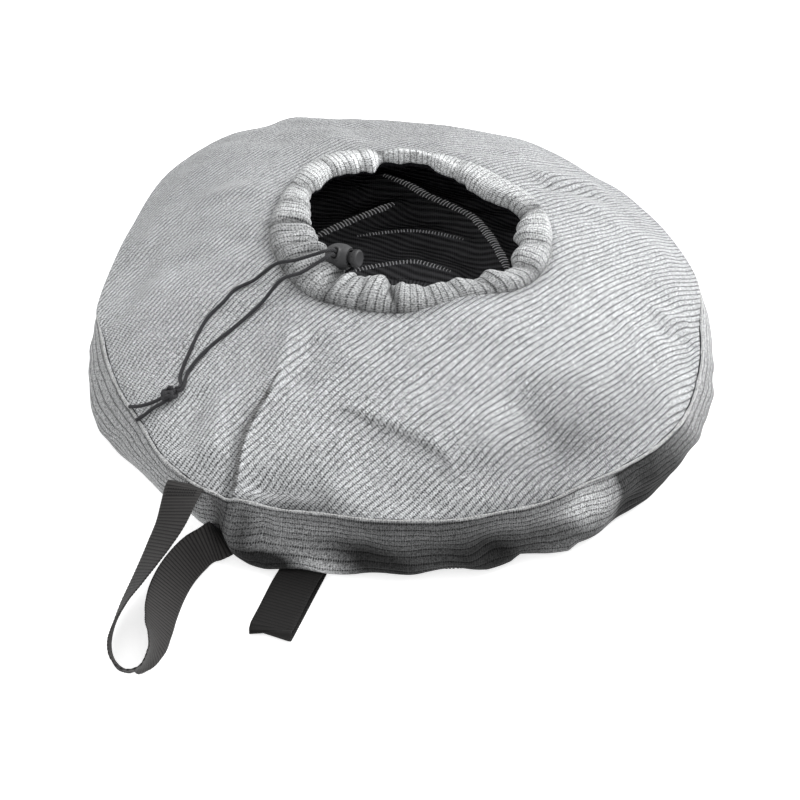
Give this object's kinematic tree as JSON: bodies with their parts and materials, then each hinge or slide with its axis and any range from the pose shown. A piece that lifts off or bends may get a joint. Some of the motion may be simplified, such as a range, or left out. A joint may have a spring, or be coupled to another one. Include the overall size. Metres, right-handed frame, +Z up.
{
  "type": "snow sock tire",
  "caption": "Textile snow sock for a car tyre, lying relaxed: ribbed knit faces, tread band, drawcord collar with cord lock, inner elastic mouth and webbing pull loops.",
  "frame": {"origin": "on the resting plane, at the centre of the tread band outline", "axes": "+Z up, out of the resting plane towards the outer mouth; -Y towards the side that carries the pull loops"},
  "size_m": [0.6215, 0.7704, 0.1704],
  "materials": {
    "outer_knit": "matt ribbed knit",
    "collar_knit": "matt ribbed knit",
    "band_fabric": "matt ribbed knit",
    "inner_fabric": "matt woven",
    "elastic": "matt",
    "cord": "braided",
    "webbing": "woven, cross ribbed",
    "lock_plastic": "satin",
    "spring_steel": "bright",
    "thread_light": "matt",
    "thread_dark": "matt"
  },
  "bodies": {
    "inner_side": {"inner_side_panel": "inner_fabric", "mouth_hem_casing": "inner_fabric", "mouth_elastic": "elastic", "tread_band": "band_fabric", "bottom_seam_thread": "thread_light", "inner_panel_stitching": "thread_light", "band_closing_seam": "thread_dark", "pull_loop_upper_tab": "webbing", "pull_loop_lower_tab": "webbing", "pull_loop_upper_tack": "thread_dark", "pull_loop_lower_tack": "thread_dark", "lower_loop_tab": "webbing", "lower_loop_tack": "thread_dark"},
    "outer_side": {"outer_side_panel": "outer_knit", "collar_casing": "collar_knit", "collar_seam_thread": "thread_light", "top_seam_thread": "thread_light", "panel_closing_seam": "thread_light", "drawcord_ring": "cord"},
    "cord_lock": {"cord_lock_body": "lock_plastic", "cord_lock_spring": "spring_steel"},
    "lock_button": {"cord_lock_plunger": "lock_plastic"},
    "cord_tails": {"drawcord_tail_upper": "cord", "drawcord_tail_lower": "cord", "tail_knot": "cord"},
    "pull_loop": {"pull_loop_webbing": "webbing"},
    "lower_loop": {"lower_loop_webbing": "webbing"}
  },
  "joints": [
    {"name": "face_press", "type": "slide", "parent": "inner_side", "child": "outer_side", "axis": [0, 0, 1], "range_m": [-0.04, 0], "stiffness_N_per_m": 700, "springref_m": 0.012},
    {"name": "cord_lock_slide", "type": "slide", "parent": "outer_side", "child": "cord_lock", "axis": [-0.45, -0.5, 0.74], "range_m": [0, 0.016]},
    {"name": "lock_button_press", "type": "slide", "parent": "cord_lock", "child": "lock_button", "axis": [-0.8683, 0.4386, -0.2317], "range_m": [0, 0.003], "stiffness_N_per_m": 1800, "springref_m": -0.001, "deforming": ["cord_lock_spring"]},
    {"name": "cord_tails_lift", "type": "hinge", "parent": "cord_lock", "child": "cord_tails", "pos_m": [-0.06188, -0.0647, 0.16534], "axis": [-0.6, 0.8, 0], "range_deg": [0, 75]},
    {"name": "pull_loop_swing", "type": "hinge", "parent": "inner_side", "child": "pull_loop", "pos_m": [-0.2015, -0.3038, 0.052], "axis": [-0.2669, 0.3559, 0.8956], "range_deg": [0, 40], "stiffness_Nm_per_rad": 0.02},
    {"name": "lower_loop_lift", "type": "hinge", "parent": "inner_side", "child": "lower_loop", "pos_m": [-0.08457, -0.31752, 0.0031], "axis": [0.9386, -0.3449, 0], "range_deg": [0, 85], "stiffness_Nm_per_rad": 0.02}
  ]
}
